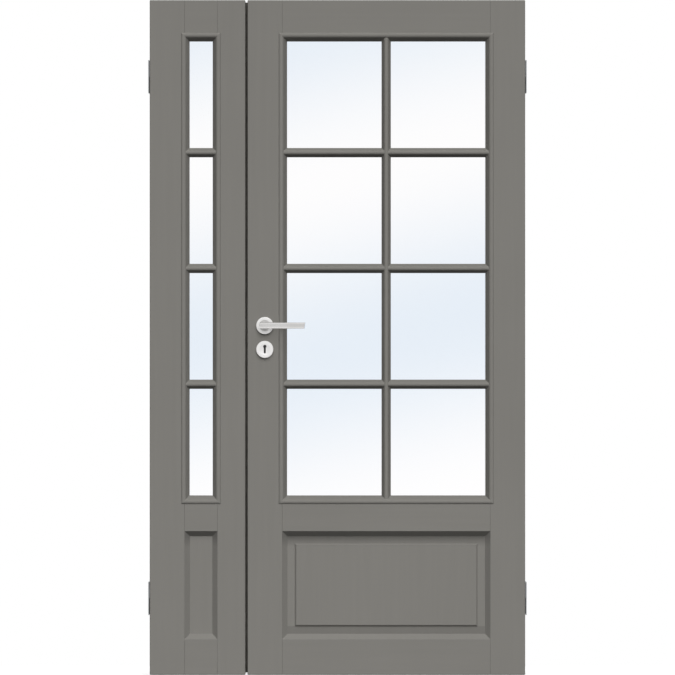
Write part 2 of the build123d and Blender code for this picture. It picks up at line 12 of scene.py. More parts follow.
import bpy
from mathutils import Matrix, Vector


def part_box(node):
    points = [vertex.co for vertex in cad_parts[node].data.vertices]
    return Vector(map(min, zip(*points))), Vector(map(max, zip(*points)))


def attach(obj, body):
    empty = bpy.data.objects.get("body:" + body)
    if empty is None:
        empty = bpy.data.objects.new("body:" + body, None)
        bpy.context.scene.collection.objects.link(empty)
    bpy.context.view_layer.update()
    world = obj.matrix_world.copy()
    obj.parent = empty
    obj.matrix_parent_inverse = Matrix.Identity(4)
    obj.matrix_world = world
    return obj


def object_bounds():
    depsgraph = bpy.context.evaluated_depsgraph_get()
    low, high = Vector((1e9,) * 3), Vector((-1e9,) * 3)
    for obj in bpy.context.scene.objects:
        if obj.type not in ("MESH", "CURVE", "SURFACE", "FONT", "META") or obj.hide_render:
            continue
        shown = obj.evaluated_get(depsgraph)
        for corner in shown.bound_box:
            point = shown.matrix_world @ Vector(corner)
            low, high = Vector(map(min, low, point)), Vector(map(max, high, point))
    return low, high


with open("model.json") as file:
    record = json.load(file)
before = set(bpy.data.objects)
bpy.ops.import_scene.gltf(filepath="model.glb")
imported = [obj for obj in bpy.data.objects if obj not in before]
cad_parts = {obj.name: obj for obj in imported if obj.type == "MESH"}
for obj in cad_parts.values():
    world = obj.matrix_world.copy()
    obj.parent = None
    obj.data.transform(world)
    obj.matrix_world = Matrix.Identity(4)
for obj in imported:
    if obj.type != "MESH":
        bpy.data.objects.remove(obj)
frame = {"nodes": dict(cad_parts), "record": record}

nodes = frame["nodes"]
solid_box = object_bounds()
print("solids:", len(nodes), "box:", [[round(value, 4) for value in corner] for corner in solid_box])

# %% [markdown]
# ## The camera
# The photograph is a flat front view: opposite reveals of the glazing look equally wide.
# An orthographic camera would give that, but a long lens from far away is a camera that exists,
# and it keeps a trace of depth. The picture is exactly as tall as the leaves,
# so the lens follows from the distance and the height of a leaf.

# %% Camera at the photograph's view
IMAGE_SIZE = 675                 # pixels each way
PASSIVE_EDGE_PIXEL = 149.5       # left edge of the narrow leaf in the photograph
ACTIVE_EDGE_PIXEL = 525.4        # right edge of the wide leaf
CAMERA_DISTANCE = 12.0
SENSOR_WIDTH = 36.0              # millimetres, like the lens
CLIP_END = 100.0

passive_low, passive_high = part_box("passive_hinge_stile")
active_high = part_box("active_hinge_stile")[1]
leaf_front = passive_low.y
leaf_mid = (passive_low.y + passive_high.y) / 2
leaf_bottom = passive_low.z
leaf_top = passive_high.z
leaf_height = leaf_top - leaf_bottom

metres_per_pixel = leaf_height / IMAGE_SIZE
pixels_off_middle = (PASSIVE_EDGE_PIXEL + ACTIVE_EDGE_PIXEL - IMAGE_SIZE) / 2
middle_x = (passive_low.x + active_high.x) / 2 - pixels_off_middle * metres_per_pixel
middle_z = (leaf_bottom + leaf_top) / 2

camera_data = bpy.data.cameras.new("front_camera")
camera_data.sensor_width = SENSOR_WIDTH
camera_data.lens = SENSOR_WIDTH * CAMERA_DISTANCE / leaf_height
camera_data.clip_end = CLIP_END
camera = bpy.data.objects.new("front_camera", camera_data)
camera.location = (middle_x, leaf_front - CAMERA_DISTANCE, middle_z)
camera.rotation_euler = (math.radians(90), 0, 0)
bpy.context.scene.collection.objects.link(camera)
bpy.context.scene.camera = camera
print("camera at", [round(value, 4) for value in camera.location], "lens", round(camera_data.lens, 1))

# %% [markdown]
# ## Lamps
# The photograph lights the leaves from the front and from above: slopes that look up are pale,
# slopes that look down are nearly black, and the sides lie between. A soft key sun does that evenly
# over the whole height, where an area lamp would fade towards the floor, and a low fill sun keeps
# the downward slopes from going quite black. Two suns at the rear, one from each side, light the back
# and the edges of the leaves and just miss the slopes of the front.
# Glass and metal would show the suns as discs, so the lamps are hidden from both.

# %% Suns
# name: strength, then in degrees the height, the turn round the door and the softness
FRONT_SUNS = {
    "key_sun": (2.87, 42, 6, 50),
    "fill_sun": (1.19, 12, 6, 20),
}
REAR_SUNS = {
    "rear_left_sun": (1.9, 12, 30, 20),
    "rear_right_sun": (1.9, 12, -30, 20),
}
LAMP_RISE = 1.0                  # lamps above the leaves; a sun's place doesn't change its light


def add_sun(name, side, strength, elevation, turn, softness):
    """A soft sun on the front (side 1) or the rear (side -1)."""
    data = bpy.data.lights.new(name, "SUN")
    data.energy = strength
    data.angle = math.radians(softness)
    lamp = bpy.data.objects.new(name, data)
    lamp.rotation_euler = (side * math.radians(90 - elevation), 0, math.radians(turn))
    lamp.location = (middle_x, 0, leaf_top + LAMP_RISE)
    lamp.visible_camera = False
    lamp.visible_glossy = False
    lamp.visible_transmission = False
    bpy.context.scene.collection.objects.link(lamp)


for name, settings in FRONT_SUNS.items():
    add_sun(name, 1, *settings)
for name, settings in REAR_SUNS.items():
    add_sun(name, -1, *settings)
print("suns:", list(FRONT_SUNS) + list(REAR_SUNS))

# %% [markdown]
# ## Helpers for node trees
# A finish is a tree of nodes. It could be clicked together in the node editor, but a script can be
# read and run again. Most trees need the same few steps: a sum, a value brought to another range,
# a mix of two colours. Named helpers for those keep each later cell short.

# %% Node helpers
def add_node(tree, kind, **settings):
    """A new node with some of its properties set."""
    node = tree.nodes.new(kind)
    for name, value in settings.items():
        setattr(node, name, value)
    return node


def feed(tree, socket, value):
    """Link an input to another node's output, or set it to a constant."""
    if isinstance(value, bpy.types.NodeSocket):
        tree.links.new(socket, value)
    else:
        socket.default_value = value


def combine(tree, operation, first, second=0.0, **settings):
    """A math node on two values."""
    node = add_node(tree, "ShaderNodeMath", operation=operation, **settings)
    feed(tree, node.inputs[0], first)
    feed(tree, node.inputs[1], second)
    return node.outputs[0]


def map_range(tree, value, source, target):
    """A value brought from one range to another, and held inside it."""
    node = add_node(tree, "ShaderNodeMapRange")
    node.inputs["From Min"].default_value, node.inputs["From Max"].default_value = source
    node.inputs["To Min"].default_value, node.inputs["To Max"].default_value = target
    tree.links.new(node.inputs["Value"], value)
    return node.outputs["Result"]


def mix_colours(tree, factor, first, second):
    """The first colour where the factor is 0, the second where it is 1."""
    node = add_node(tree, "ShaderNodeMix", data_type="RGBA")
    tree.links.new(node.inputs["Factor"], factor)
    feed(tree, node.inputs["A"], first)
    feed(tree, node.inputs["B"], second)
    return node.outputs["Result"]


print("helpers ready")

# %% [markdown]
# ## World
# The photograph's background is white, and so is what one sees through the panes. A white world could
# do that, but it would also light every shaded slope. So it is white only for rays that see it,
# mirror it or look through glass, which the Light Path node tells apart, and nearly black for others.
# Metal in a plain white room looks like paper. So metal alone mirrors a room with a darker band
# just over eye level, which gives the lever its soft grey streak.

# %% White world with a mirrored room
SHADE_LEVEL = 0.015              # world strength for light that falls on surfaces
# what metal mirrors, from straight below (0) over level (0.5) to straight above (1): brightness
MIRRORED_ROOM = [(0.0, 0.75), (0.40, 0.85), (0.49, 0.97), (0.515, 0.58), (0.62, 0.78), (1.0, 1.0)]


def grey(level):
    """A neutral colour."""
    return (level, level, level, 1)


def seen_or_mirrored(tree):
    """A socket that is 1 for rays that see, mirror or look through, and 0 for light on surfaces."""
    path = add_node(tree, "ShaderNodeLightPath").outputs
    direct = combine(tree, "MAXIMUM", path["Is Camera Ray"], path["Is Glossy Ray"])
    direct = combine(tree, "MAXIMUM", direct, path["Is Transmission Ray"])
    not_scattered = combine(tree, "LESS_THAN", path["Diffuse Depth"], 0.5)
    return combine(tree, "MULTIPLY", direct, not_scattered)


world = bpy.data.worlds.new("studio")
bpy.context.scene.world = world
world.use_nodes = True
tree = world.node_tree
background = tree.nodes["Background"]
height = add_node(tree, "ShaderNodeSeparateXYZ")
tree.links.new(height.inputs["Vector"], add_node(tree, "ShaderNodeTexCoord").outputs["Generated"])
room = add_node(tree, "ShaderNodeValToRGB")
for place, brightness in MIRRORED_ROOM[1:-1]:
    room.color_ramp.elements.new(place)
for element, (place, brightness) in zip(room.color_ramp.elements, MIRRORED_ROOM):
    element.color = grey(brightness)
tree.links.new(room.inputs["Fac"], map_range(tree, height.outputs["Z"], (-1.0, 1.0), (0.0, 1.0)))
path = add_node(tree, "ShaderNodeLightPath").outputs
by_metal = combine(tree, "SUBTRACT", path["Is Glossy Ray"], path["Is Transmission Ray"], use_clamp=True)
tree.links.new(background.inputs["Color"], mix_colours(tree, by_metal, grey(1.0), room.outputs["Color"]))
strength = map_range(tree, seen_or_mirrored(tree), (0.0, 1.0), (SHADE_LEVEL, 1.0))
tree.links.new(background.inputs["Strength"], strength)

bpy.context.scene.view_settings.view_transform = "Standard"
print("world:", world.name)

# %% [markdown]
# ## Floor
# The floor is there for the shadow that makes the door stand. A shadow catcher could give one,
# but it needs a transparent film. So the floor is a white sheet: about half of its white is its own
# light and half comes from the lamps, which keeps a shadow on it pale. Away from the leaves its own
# light takes over, and the shadow fades out into the white background.

# %% Floor sheet
FLOOR_GAP = 0.006                # under the leaves
FLOOR_SIDE = 1.3                 # floor beyond the door to the sides
FLOOR_FRONT = 1.6
FLOOR_REAR = 0.3                 # short, because the photograph has no floor behind the leaves

floor_left = solid_box[0][0] - FLOOR_SIDE
floor_right = solid_box[1][0] + FLOOR_SIDE
floor_near = solid_box[0][1] - FLOOR_FRONT
floor_far = solid_box[1][1] + FLOOR_REAR
floor_z = leaf_bottom - FLOOR_GAP
floor_mesh = bpy.data.meshes.new("floor")
floor_mesh.from_pydata(
    [
        (floor_left, floor_near, floor_z),
        (floor_right, floor_near, floor_z),
        (floor_right, floor_far, floor_z),
        (floor_left, floor_far, floor_z),
    ],
    [],
    [(0, 1, 2, 3)],
)
floor = bpy.data.objects.new("floor", floor_mesh)
bpy.context.scene.collection.objects.link(floor)
print("floor at", round(floor_z, 4))

# %% Floor paint
FLOOR_TONE = 0.52                # the floor's white; lamps and own light together make it just white
FLOOR_GLOW = 0.53                # own light of the floor where it shows shadows
FLOOR_BOUNCE = 0.08              # its tone for light that it throws back on the door
FLOOR_ROUGHNESS = 0.9
SHADOW_FADE = (0.02, 0.26)       # shadows fade out between these distances from y = 0, in the leaves


def object_place(tree):
    """Places in the object's own frame, so that a pattern moves with its piece."""
    return add_node(tree, "ShaderNodeTexCoord").outputs["Object"]


def object_axis(tree, axis):
    """One coordinate of those places."""
    node = add_node(tree, "ShaderNodeSeparateXYZ")
    tree.links.new(node.inputs["Vector"], object_place(tree))
    return node.outputs[axis]


def new_material(name):
    """A node material, with its tree and its Principled shader."""
    material = bpy.data.materials.new(name)
    material.use_nodes = True
    tree = material.node_tree
    return material, tree, tree.nodes["Principled BSDF"]


floor_paint, tree, shader = new_material("studio_floor")
shader.inputs["Roughness"].default_value = FLOOR_ROUGHNESS
shader.inputs["Emission Color"].default_value = grey(1.0)
seen = seen_or_mirrored(tree)
near = map_range(tree, combine(tree, "ABSOLUTE", object_axis(tree, "Y")), SHADOW_FADE, (1.0, 0.0))
tone = mix_colours(tree, combine(tree, "MULTIPLY", near, seen), grey(FLOOR_BOUNCE), grey(FLOOR_TONE))
tree.links.new(shader.inputs["Base Color"], tone)
glow = map_range(tree, near, (0.0, 1.0), (1.0, FLOOR_GLOW))
tree.links.new(shader.inputs["Emission Strength"], combine(tree, "MULTIPLY", glow, seen))
floor_mesh.materials.append(floor_paint)
print("floor paint:", floor_paint.name)

# %% [markdown]
# ## A shared effect: the paint film
# Brushed paint is never one colour: it lies in faint strokes along the wood, its tone drifts
# a little from board to board, and close up it has the dimples that the trade calls orange peel.
# A picture of brushed paint could do it, but it would have to be wrapped round every board.
# One node group makes all three from noise, and each board gives it its own grain direction.

# %% Group helpers
NOISE_SPREAD = (0.3, 0.7)        # where most of a noise texture's values lie


def shader_group(name, inputs, outputs):
    """An empty shader group with named sockets; gives the group and its two end nodes."""
    group = bpy.data.node_groups.new(name, "ShaderNodeTree")
    for socket_name, socket_type in inputs:
        group.interface.new_socket(socket_name, in_out="INPUT", socket_type=socket_type)
    for socket_name, socket_type in outputs:
        group.interface.new_socket(socket_name, in_out="OUTPUT", socket_type=socket_type)
    return group, group.nodes.new("NodeGroupInput"), group.nodes.new("NodeGroupOutput")


def noise(tree, vector, scale, detail=2.0):
    """A noise texture's value."""
    texture = add_node(tree, "ShaderNodeTexNoise")
    texture.inputs["Scale"].default_value = scale
    texture.inputs["Detail"].default_value = detail
    tree.links.new(texture.inputs["Vector"], vector)
    return texture.outputs["Fac"]


def stretched(tree, scale_socket):
    """Object coordinates, and the same pulled along one direction."""
    place = object_place(tree)
    mapping = add_node(tree, "ShaderNodeMapping")
    tree.links.new(mapping.inputs["Vector"], place)
    tree.links.new(mapping.inputs["Scale"], scale_socket)
    return place, mapping.outputs["Vector"]


def two_tones(tree, first, first_range, second, second_range):
    """Two noises, each spread over its own range of tones, multiplied."""
    first_tone = map_range(tree, first, NOISE_SPREAD, first_range)
    second_tone = map_range(tree, second, NOISE_SPREAD, second_range)
    return combine(tree, "MULTIPLY", first_tone, second_tone)


def shade(tree, colour, factor):
    """A colour times a value."""
    node = add_node(tree, "ShaderNodeVectorMath", operation="SCALE")
    tree.links.new(node.inputs[0], colour)
    tree.links.new(node.inputs["Scale"], factor)
    return node.outputs[0]


print("group helpers ready")

# %% Paint film group
STROKE_DETAIL = 4.0
STROKE_TONE = (0.985, 1.015)
STROKE_RELIEF = 1.5              # height of a stroke against the dimples
DRIFT_SCALE = 2.3
DRIFT_TONE = (0.98, 1.02)
PEEL_SCALE = 420.0
PAINT_ROUGHNESS = (0.40, 0.50)
FILM_OUTPUTS = [
    ("Colour", "NodeSocketColor"),
    ("Roughness", "NodeSocketFloat"),
    ("Height", "NodeSocketFloat"),
]

paint_film, film_in, film_out = shader_group(
    "paint_film", [("Colour", "NodeSocketColor"), ("Grain", "NodeSocketVector")], FILM_OUTPUTS
)
place, along_grain = stretched(paint_film, film_in.outputs["Grain"])
strokes = noise(paint_film, along_grain, 1.0, STROKE_DETAIL)
drift = noise(paint_film, place, DRIFT_SCALE)
peel = noise(paint_film, place, PEEL_SCALE)
tone = two_tones(paint_film, strokes, STROKE_TONE, drift, DRIFT_TONE)
relief = combine(paint_film, "ADD", combine(paint_film, "MULTIPLY", strokes, STROKE_RELIEF), peel)
roughness = map_range(paint_film, strokes, NOISE_SPREAD, PAINT_ROUGHNESS)
paint_film.links.new(film_out.inputs["Colour"], shade(paint_film, film_in.outputs["Colour"], tone))
paint_film.links.new(film_out.inputs["Roughness"], roughness)
paint_film.links.new(film_out.inputs["Height"], relief)
print("group:", paint_film.name)

# %% [markdown]
# ## Paint
# The boards differ only in the way their strokes run: stiles and the upright bar are brushed
# upwards, rails and level bars across, and mitred beads and mouldings both ways.
# The colour itself is a plain warm grey. The paint has no mirror shine, because even a faint one
# would lighten the steep slopes of the beads, which the photograph shows dark.

# %% Leaf paint
WARM_GREY = (0.190, 0.184, 0.170, 1)
GRAIN_UPRIGHT = (70, 70, 3)
GRAIN_LEVEL = (3, 70, 70)
GRAIN_BOTH_WAYS = (40, 40, 40)
PAINT_BUMP_DISTANCE = 0.0002
PAINT_BUMP_STRENGTH = 0.25


def finish_from_group(name, group, group_values, bump_distance, bump_strength):
    """A material whose colour, roughness and relief come from a group; its group node is named film."""
    material, tree, shader = new_material(name)
    film = add_node(tree, "ShaderNodeGroup", node_tree=group, name="film")
    for socket_name, value in group_values.items():
        film.inputs[socket_name].default_value = value
    bump = add_node(tree, "ShaderNodeBump")
    bump.inputs["Strength"].default_value = bump_strength
    bump.inputs["Distance"].default_value = bump_distance
    tree.links.new(shader.inputs["Base Color"], film.outputs["Colour"])
    tree.links.new(shader.inputs["Roughness"], film.outputs["Roughness"])
    tree.links.new(bump.inputs["Height"], film.outputs["Height"])
    tree.links.new(shader.inputs["Normal"], bump.outputs["Normal"])
    return material


def leaf_paint(name, grain):
    """Matt paint brushed along a grain direction."""
    material = finish_from_group(
        name, paint_film, {"Colour": WARM_GREY, "Grain": grain}, PAINT_BUMP_DISTANCE, PAINT_BUMP_STRENGTH
    )
    material.node_tree.nodes["Principled BSDF"].inputs["Specular IOR Level"].default_value = 0.0
    return material


paints = {
    "upright": leaf_paint("upright_paint", GRAIN_UPRIGHT),
    "level": leaf_paint("level_paint", GRAIN_LEVEL),
    "mitred": leaf_paint("mitred_paint", GRAIN_BOTH_WAYS),
}
print("paints:", list(paints))

# %% Paint the boards
LEVEL_WORDS = ("rail", "cross_bar")
MITRED_WORDS = ("bead", "moulding")


def paint_for(node_name):
    """The paint whose strokes run along this board."""
    if any(word in node_name for word in MITRED_WORDS):
        return paints["mitred"]
    if any(word in node_name for word in LEVEL_WORDS):
        return paints["level"]
    return paints["upright"]


def dress(node_name, material):
    """Give a solid its finish, in all its slots."""
    for slot in nodes[node_name].material_slots:
        slot.material = material


slot_of = {part["node"]: part["material_slot"] for part in frame["record"]["subparts"]}
painted = [name for name, slot in slot_of.items() if slot == "leaf_paint"]
for name in painted:
    dress(name, paint_for(name))
print("painted boards:", len(painted))

# %% [markdown]
# ## Painted shade in the panel recesses
# The lower panels lie deep behind their mouldings, and the photograph shows a soft shade there:
# strong under the upper run of the moulding, faint below the raised field of the wide panel.
# Lamps alone could cast it, but then every other slope would change too. So the shade is painted
# into the colour of these boards as painted shade: a ramp along Z darkens the colour
# under the upper moulding and below the raised field.

# %% Painted shade in the panel recesses
MOULDING_WIDTH = 0.016
FIELD_MARGIN = 0.024             # from the moulding to the raised field
FIELD_STEP = 0.002               # slope between the margin and the field
SHADE_REACH = 0.032              # the upper shade ends this far below the moulding
# painted shade: each share below is the colour left where the recess lies in shade
MOULDING_PAINTED_SHADE = 0.74            # share of the colour left on the upper run of a moulding
PANEL_PAINTED_SHADE = 0.58               # share left on the wide panel just below it
LOW_PAINTED_SHADE = 0.82                 # share left on the wide panel's lower margin


def painted_shade_paint(name, grain, ramps):
    """Leaf paint with painted shade along Z; a ramp is where it is full, where it ends and the colour's
    share.
    """
    material = leaf_paint(name, grain)
    tree = material.node_tree
    level = object_axis(tree, "Z")
    colour = tree.nodes["film"].outputs["Colour"]
    for full, end, share in ramps:
        colour = shade(tree, colour, map_range(tree, level, (full, end), (share, 1.0)))
    tree.links.new(tree.nodes["Principled BSDF"].inputs["Base Color"], colour)
    return material


def recess_levels(leaf):
    """The lower and upper edge of a panel inside its moulding."""
    low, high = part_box(f"{leaf}_panel_moulding_front")
    return low.z + MOULDING_WIDTH, high.z - MOULDING_WIDTH


for leaf in ("passive", "active"):
    bottom, top = recess_levels(leaf)
    upper_shade = (top, top - SHADE_REACH, MOULDING_PAINTED_SHADE)
    # painted shade on the upper run of each moulding
    glazed = painted_shade_paint(f"{leaf}_moulding_paint", GRAIN_BOTH_WAYS, [upper_shade])
    for side in ("front", "rear"):
        dress(f"{leaf}_panel_moulding_{side}", glazed)
    print(leaf, "recess from", round(bottom, 4), "to", round(top, 4))

bottom, top = recess_levels("active")
field_edge = bottom + FIELD_MARGIN
# painted shade under the upper moulding and below the raised field
panel_ramps = [
    (top, top - SHADE_REACH, PANEL_PAINTED_SHADE),
    (field_edge - FIELD_STEP, field_edge, LOW_PAINTED_SHADE),
]
dress("active_panel", painted_shade_paint("raised_panel_paint", GRAIN_UPRIGHT, panel_ramps))

# %% [markdown]
# ## Glass
# In front of a white room the panes are white with a breath of reflected sky: broad soft bands of pale
# blue that lean a little to one side. A real reflection would need a painted sky, so the reflection is
# painted into the glass's colour, as bands of a sine wave in object coordinates.
# Glass would hold back the rays from the lamps, so for those alone it is transparent.

# %% Glass with a painted sky reflection in soft bands
# painted reflection: the pale blue of sky that real panes mirror, mixed into the glass's colour
REFLECTED_SKY_BLUE = (0.797, 0.862, 0.938, 1)
CLEAR = (1.0, 0.995, 1.0, 1)
GLASS_IOR = 1.45
BAND_PERIOD = 1.07               # from one pale band to the next, upwards
BAND_LEAN = 0.27                 # rise of a band for each metre across
WHITE_PLACES = {"active": (0.720, 1.317), "passive": (0.161, 1.311)}   # x and z of a white place
WAVE_RADIANS = 20.0              # a wave texture turns this much for each metre at scale 1


def let_light_through(tree, share):
    """Mix the shader with a clear one by a share."""
    clear = add_node(tree, "ShaderNodeBsdfTransparent")
    surface = add_node(tree, "ShaderNodeMixShader")
    tree.links.new(surface.inputs["Fac"], share)
    tree.links.new(surface.inputs[1], tree.nodes["Principled BSDF"].outputs["BSDF"])
    tree.links.new(surface.inputs[2], clear.outputs["BSDF"])
    tree.links.new(tree.nodes["Material Output"].inputs["Surface"], surface.outputs["Shader"])


def leaf_glass(name, white_place):
    """Clear float glass with a painted sky reflection in broad bands that are white at the given place."""
    material, tree, shader = new_material(name)
    shader.inputs["Transmission Weight"].default_value = 1.0
    shader.inputs["Roughness"].default_value = 0.0
    shader.inputs["IOR"].default_value = GLASS_IOR
    lean = math.atan(BAND_LEAN)
    white_x, white_z = white_place
    turned_z = white_z * math.cos(lean) - white_x * math.sin(lean)
    centred = add_node(tree, "ShaderNodeMapping", vector_type="POINT")
    centred.inputs["Rotation"].default_value = (0, lean, 0)
    centred.inputs["Location"].default_value = (0, 0, -turned_z)
    wave = add_node(tree, "ShaderNodeTexWave", wave_type="BANDS", bands_direction="Z", wave_profile="SIN")
    wave.inputs["Scale"].default_value = 2 * math.pi / (WAVE_RADIANS * BAND_PERIOD * math.cos(lean))
    tree.links.new(centred.inputs["Vector"], object_place(tree))
    tree.links.new(wave.inputs["Vector"], centred.outputs["Vector"])
    # painted reflection of sky, in broad leaning bands
    bands = mix_colours(tree, wave.outputs["Fac"], CLEAR, REFLECTED_SKY_BLUE)
    tree.links.new(shader.inputs["Base Color"], bands)
    let_light_through(tree, add_node(tree, "ShaderNodeLightPath").outputs["Is Shadow Ray"])
    return material


for leaf, white_place in WHITE_PLACES.items():
    dress(f"{leaf}_panes", leaf_glass(f"{leaf}_glass", white_place))
print("glazed leaves:", list(WHITE_PLACES))

# %% [markdown]
# ## A shared effect: brushed metal
# Satin fittings are brushed: fine lines run one way, a little lighter or darker, smoother or rougher.
# An anisotropic shader could stretch the glints, but the lines themselves would be missing.
# The same stretched noise as on the paint gives them, only finer and with more contrast in the shine.

# %% Brushed metal group
LINE_DETAIL = 3.0
LINE_TONE = (0.95, 1.05)
LINE_DULLNESS = (-0.06, 0.06)
SMUDGE_SCALE = 30.0
SMUDGE_TONE = (0.97, 1.03)

brushed_metal, metal_in, metal_out = shader_group(
    "brushed_metal",
    [("Colour", "NodeSocketColor"), ("Lines", "NodeSocketVector"), ("Dullness", "NodeSocketFloat")],
    FILM_OUTPUTS,
)
place, along_lines = stretched(brushed_metal, metal_in.outputs["Lines"])
lines = noise(brushed_metal, along_lines, 1.0, LINE_DETAIL)
smudge = noise(brushed_metal, place, SMUDGE_SCALE)
tone = two_tones(brushed_metal, lines, LINE_TONE, smudge, SMUDGE_TONE)
line_dullness = map_range(brushed_metal, lines, NOISE_SPREAD, LINE_DULLNESS)
dullness = combine(brushed_metal, "ADD", line_dullness, metal_in.outputs["Dullness"])
brushed_metal.links.new(metal_out.inputs["Colour"], shade(brushed_metal, metal_in.outputs["Colour"], tone))
brushed_metal.links.new(metal_out.inputs["Roughness"], dullness)
brushed_metal.links.new(metal_out.inputs["Height"], lines)
print("group:", brushed_metal.name)

# %% [markdown]
# ## Metals
# The lever is brushed along its length and the plates along theirs. Hinges are zinc plated,
# duller and a little bluer. Each could have a tree of its own, but they differ in three values only,
# so one function makes them all, and the slots of the record say which solid gets which.

# %% Fittings
SATIN_STEEL = (0.74, 0.73, 0.72, 1)
PLATE_STEEL = (0.50, 0.50, 0.49, 1)
ZINC = (0.47, 0.48, 0.49, 1)
HANDLE_DULLNESS = 0.27
PLATE_DULLNESS = 0.40
LINES_ALONG_X = (8, 900, 900)
LINES_ALONG_Z = (900, 900, 8)
LINES_CLOUDY = (160, 160, 160)
METAL_BUMP_DISTANCE = 0.00005
METAL_BUMP_STRENGTH = 0.3


def fitting_metal(name, colour, lines, dullness):
    """Brushed metal with its lines along one direction."""
    values = {"Colour": colour, "Lines": lines, "Dullness": dullness}
    material = finish_from_group(name, brushed_metal, values, METAL_BUMP_DISTANCE, METAL_BUMP_STRENGTH)
    material.node_tree.nodes["Principled BSDF"].inputs["Metallic"].default_value = 1.0
    return material


metals = {
    "handle_metal": fitting_metal("satin_steel", SATIN_STEEL, LINES_ALONG_X, HANDLE_DULLNESS),
    "lock_metal": fitting_metal("plate_steel", PLATE_STEEL, LINES_ALONG_Z, PLATE_DULLNESS),
    "hinge_metal": fitting_metal("zinc_plate", ZINC, LINES_CLOUDY, PLATE_DULLNESS),
}
for name, slot in slot_of.items():
    if slot in metals:
        dress(name, metals[slot])
print("metals:", sorted(metals))

# %% [markdown]
# ## The lever's shadow
# The lever stands well off the leaf, and under these lamps its shadow would lie broad on the stile,
# where the photograph has none. Shadow linking could keep the lever from casting any, but then
# the rose would lose its shadow too. So the metal lets most of the light pass for shadows that fall
# some centimetres away, and close ones, as on the rose, stay full.

# %% Thin the far shadow
SHADOW_REACH = (0.032, 0.042)    # a shadow nearer than the first is full, one past the second thinned
SHADOW_THROUGH = 0.85            # share of the light that passes then

tree = metals["handle_metal"].node_tree
path = add_node(tree, "ShaderNodeLightPath").outputs
far_share = map_range(tree, path["Ray Length"], SHADOW_REACH, (0.0, SHADOW_THROUGH))
let_light_through(tree, combine(tree, "MULTIPLY", far_share, path["Is Shadow Ray"]))
print("far shadow lets through", SHADOW_THROUGH)

# %% [markdown]
# ## The lock case
# The lock is one solid, but only its face plate is ever polished. The case behind it sits in the
# dark of the stile and is dark steel, near black also as painted shade inside the keyhole, which
# is what one sees through it. Two materials would need the faces sorted, so one material tells
# plate and case apart by the place along X.

# %% Lock with a black case that also paints the keyhole's shade
# painted shade: near black partly as dark steel, partly for the shade inside the keyhole
CASE_BLACK_AND_SHADE = grey(0.10)
FACE_PLATE = 0.003
PLATE_MARGIN = 0.00003           # keeps the plate's own back bright

lock_metal = fitting_metal("lock_with_case", PLATE_STEEL, LINES_ALONG_Z, PLATE_DULLNESS)
tree = lock_metal.node_tree
plate_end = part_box("mortise_lock")[0].x + FACE_PLATE + PLATE_MARGIN
behind_plate = combine(tree, "GREATER_THAN", object_axis(tree, "X"), plate_end)
lock_tone = mix_colours(tree, behind_plate, PLATE_STEEL, CASE_BLACK_AND_SHADE)
tree.links.new(tree.nodes["film"].inputs["Colour"], lock_tone)
dress("mortise_lock", lock_metal)
print("lock case black behind", round(plate_end, 4))

# %% [markdown]
# ## Turned roses
# A rose is turned on a lathe, so its marks are rings. They are far too fine to cut into the mesh:
# the distance from the axis, fed to a sine, makes the shine rise and fall instead.
# The rim is brighter than the dish inside it, partly for its polish and partly as a painted highlight.
# The lever rose's dish is darker than the key rose's, as painted shade under the lever.
# A lacquer over the metal scatters part of the light, which lets the lever's shadow show on it.

# %% Roses
DISH_RADIUS = 0.017
DISH_EDGE = 0.0005               # half the width of the step from dish to rim
# painted highlight: the rim is lighter partly for its polish, partly for the light it catches
RIM_STEEL_AND_HIGHLIGHT = (0.88, 0.87, 0.86, 1)
# painted shade: the lever rose's dish is darker than the key rose's, for the lever's shade on it
DISH_STEEL_AND_SHADE = {"lever_rose": (0.72, 0.71, 0.70, 1), "key_rose": (0.84, 0.83, 0.82, 1)}
ROSE_METALLIC = 0.60
ROSE_ROUGHNESS = (0.33, 0.42)
TURNED_RINGS = 9000.0            # radians a metre from the middle


def rose_metal(name, middle, dish_tone_and_shade):
    """Turned steel: fine rings round the middle, a bright rim that is partly painted highlight, and a
    satin dish.
    """
    material, tree, shader = new_material(name)
    shader.inputs["Metallic"].default_value = ROSE_METALLIC
    centred = add_node(tree, "ShaderNodeMapping", vector_type="POINT")
    centred.inputs["Location"].default_value = (-middle.x, 0, -middle.z)
    centred.inputs["Scale"].default_value = (1, 0, 1)
    tree.links.new(centred.inputs["Vector"], object_place(tree))
    length = add_node(tree, "ShaderNodeVectorMath", operation="LENGTH")
    tree.links.new(length.inputs[0], centred.outputs["Vector"])
    reach = length.outputs["Value"]
    rim = map_range(tree, reach, (DISH_RADIUS - DISH_EDGE, DISH_RADIUS + DISH_EDGE), (0.0, 1.0))
    tree.links.new(shader.inputs["Base Color"], mix_colours(tree, rim, dish_tone_and_shade, RIM_STEEL_AND_HIGHLIGHT))
    rings = combine(tree, "SINE", combine(tree, "MULTIPLY", reach, TURNED_RINGS))
    tree.links.new(shader.inputs["Roughness"], map_range(tree, rings, (-1.0, 1.0), ROSE_ROUGHNESS))
    return material


for rose, dish_tone_and_shade in DISH_STEEL_AND_SHADE.items():
    low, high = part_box(f"front_{rose}")
    turned = rose_metal(f"turned_{rose}", (low + high) / 2, dish_tone_and_shade)
    for side in ("front", "rear"):
        dress(f"{side}_{rose}", turned)
print("roses:", list(DISH_STEEL_AND_SHADE))

# %% [markdown]
# ## Seal between the leaves
# A dark brush runs up the edge of the narrow leaf and closes the slit to the wide one.
# Its backing strip is a solid already, and takes the same matt finish as the pile. One dark colour
# would look like a drawn line, so noise mixes in a dusty tone here and there.

# %% Pile material
PILE_DARK = (0.068, 0.065, 0.057, 1)
PILE_DUSTY = (0.092, 0.088, 0.077, 1)
PILE_ROUGHNESS = 0.95
PILE_SHINE = 0.1
DUST_SCALE = 60.0

